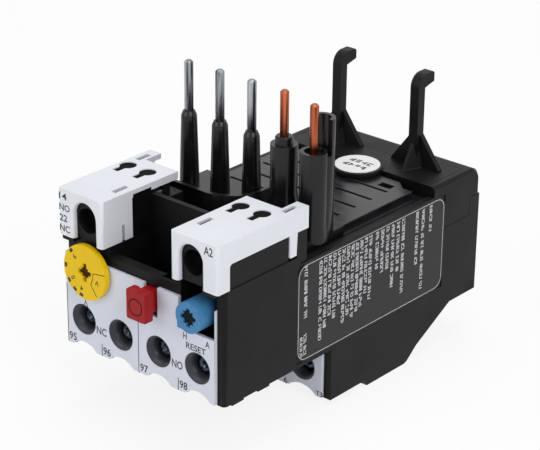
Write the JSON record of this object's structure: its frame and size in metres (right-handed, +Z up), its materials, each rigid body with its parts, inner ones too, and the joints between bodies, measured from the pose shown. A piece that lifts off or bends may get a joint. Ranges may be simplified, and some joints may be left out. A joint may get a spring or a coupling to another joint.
{
  "type": "thermal overload relay",
  "caption": "Plug-in motor overload relay with setting dial, test and reset buttons, contactor pins, rear hooks, screw terminals and an inner trip mechanism.",
  "frame": {"origin": "centre of the bounding box in plan, at the lowest point of the casing (the keel under the load block)", "axes": "+X across the width towards the blue reset knob, +Y from the front face to the rear, +Z up along the contactor pins"},
  "size_m": [0.045, 0.0922, 0.0702],
  "materials": {
    "casing_black": "fine matte moulding",
    "white_plastic": "satin moulding",
    "yellow_plastic": "semi-gloss moulding",
    "red_plastic": "semi-gloss moulding",
    "blue_plastic": "semi-gloss moulding",
    "tinned_pin": "tinned, satin",
    "copper_pin": "bare copper, satin",
    "zinc_steel": "zinc plated",
    "spring_steel": "drawn wire",
    "contact_brass": "rolled strip",
    "bimetal_steel": "rolled strip",
    "works_plastic": "natural nylon",
    "label_black": "printed film",
    "sticker_white": "printed paper"
  },
  "bodies": {
    "casing": {"aux_clamps": "zinc_steel", "aux_screws": "zinc_steel", "cap_left": "white_plastic", "cap_right": "white_plastic", "front_plate": "white_plastic", "hook_bracket": "casing_black", "housing": "casing_black", "lead_1": "copper_pin", "lead_2": "copper_pin", "lead_3": "copper_pin", "load_bar_1": "contact_brass", "load_bar_2": "contact_brass", "load_bar_3": "contact_brass", "load_clamps": "zinc_steel", "load_plate": "white_plastic", "load_screws": "zinc_steel", "pass_clamps": "zinc_steel", "pass_lead_14": "copper_pin", "pass_lead_a2": "copper_pin", "pass_screws": "zinc_steel", "pin_14": "copper_pin", "pin_2t1": "tinned_pin", "pin_4t2": "tinned_pin", "pin_6t3": "tinned_pin", "pin_a2": "copper_pin", "pin_block": "casing_black", "pivot_pin": "zinc_steel", "rear_cover": "casing_black", "reset_spring": "spring_steel", "round_sticker": "sticker_white", "side_label": "label_black", "strip_95": "contact_brass", "strip_96": "contact_brass", "strip_97": "contact_brass", "strip_98": "contact_brass", "test_spring": "spring_steel", "top_plate": "casing_black", "upper_housing": "casing_black"},
    "dial_body": {"dial": "yellow_plastic", "setting_cam": "works_plastic"},
    "test_body": {"test_button": "red_plastic"},
    "plunger_body": {"reset_plunger": "works_plastic"},
    "knob_body": {"reset_knob": "blue_plastic"},
    "slider_body": {"trip_slider": "works_plastic"},
    "lever_body": {"trip_lever": "works_plastic"},
    "carrier_body": {"contact_carrier": "works_plastic", "bridge_nc": "contact_brass", "bridge_no": "contact_brass"},
    "bimetal_body_1": {"bimetal_1": "bimetal_steel", "heater_1": "works_plastic"},
    "bimetal_body_2": {"bimetal_2": "bimetal_steel", "heater_2": "works_plastic"},
    "bimetal_body_3": {"bimetal_3": "bimetal_steel", "heater_3": "works_plastic"}
  },
  "joints": [
    {"name": "dial_turn", "type": "hinge", "parent": "casing", "child": "dial_body", "pos_m": [-0.0148, -0.04065, 0.0333], "axis": [0, -1, 0], "range_deg": [0, 135]},
    {"name": "test_press", "type": "slide", "parent": "casing", "child": "test_body", "axis": [0, 1, 0], "range_m": [0, 0.002], "stiffness_N_per_m": 600, "springref_m": -0.002, "deforming": ["test_spring"]},
    {"name": "reset_press", "type": "slide", "parent": "casing", "child": "plunger_body", "axis": [0, 1, 0], "range_m": [0, 0.002], "stiffness_N_per_m": 800, "springref_m": -0.002, "deforming": ["reset_spring"]},
    {"name": "reset_turn", "type": "hinge", "parent": "plunger_body", "child": "knob_body", "pos_m": [0.0155, -0.04065, 0.0333], "axis": [0, -1, 0], "range_deg": [0, 90]},
    {"name": "trip_slide", "type": "slide", "parent": "casing", "child": "slider_body", "axis": [1, 0, 0], "range_m": [0, 0.0012], "stiffness_N_per_m": 50, "springref_m": -0.001},
    {"name": "lever_turn", "type": "hinge", "parent": "casing", "child": "lever_body", "pos_m": [-0.0095, -0.02315, 0.0341], "axis": [0, 0, -1], "range_deg": [0, 7.17]},
    {"name": "carrier_slide", "type": "slide", "parent": "casing", "child": "carrier_body", "axis": [0, -1, 0], "range_m": [0, 0.0015]},
    {"name": "bimetal_bend_1", "type": "hinge", "parent": "casing", "child": "bimetal_body_1", "pos_m": [-0.015, 0.01135, 0.0067], "axis": [0, 1, 0], "range_deg": [0, 2.52]},
    {"name": "bimetal_bend_2", "type": "hinge", "parent": "casing", "child": "bimetal_body_2", "pos_m": [0, 0.01135, 0.0067], "axis": [0, 1, 0], "range_deg": [0, 2.52]},
    {"name": "bimetal_bend_3", "type": "hinge", "parent": "casing", "child": "bimetal_body_3", "pos_m": [0.015, 0.01135, 0.0067], "axis": [0, 1, 0], "range_deg": [0, 2.52]}
  ],
  "couplings": [
    {"joint": "lever_turn", "follows": "trip_slide", "rad_per_m": 104.17},
    {"joint": "carrier_slide", "follows": "trip_slide", "ratio": 1.25},
    {"joint": "bimetal_bend_1", "follows": "trip_slide", "rad_per_m": 36.5},
    {"joint": "bimetal_bend_2", "follows": "trip_slide", "rad_per_m": 36.5},
    {"joint": "bimetal_bend_3", "follows": "trip_slide", "rad_per_m": 36.5}
  ]
}
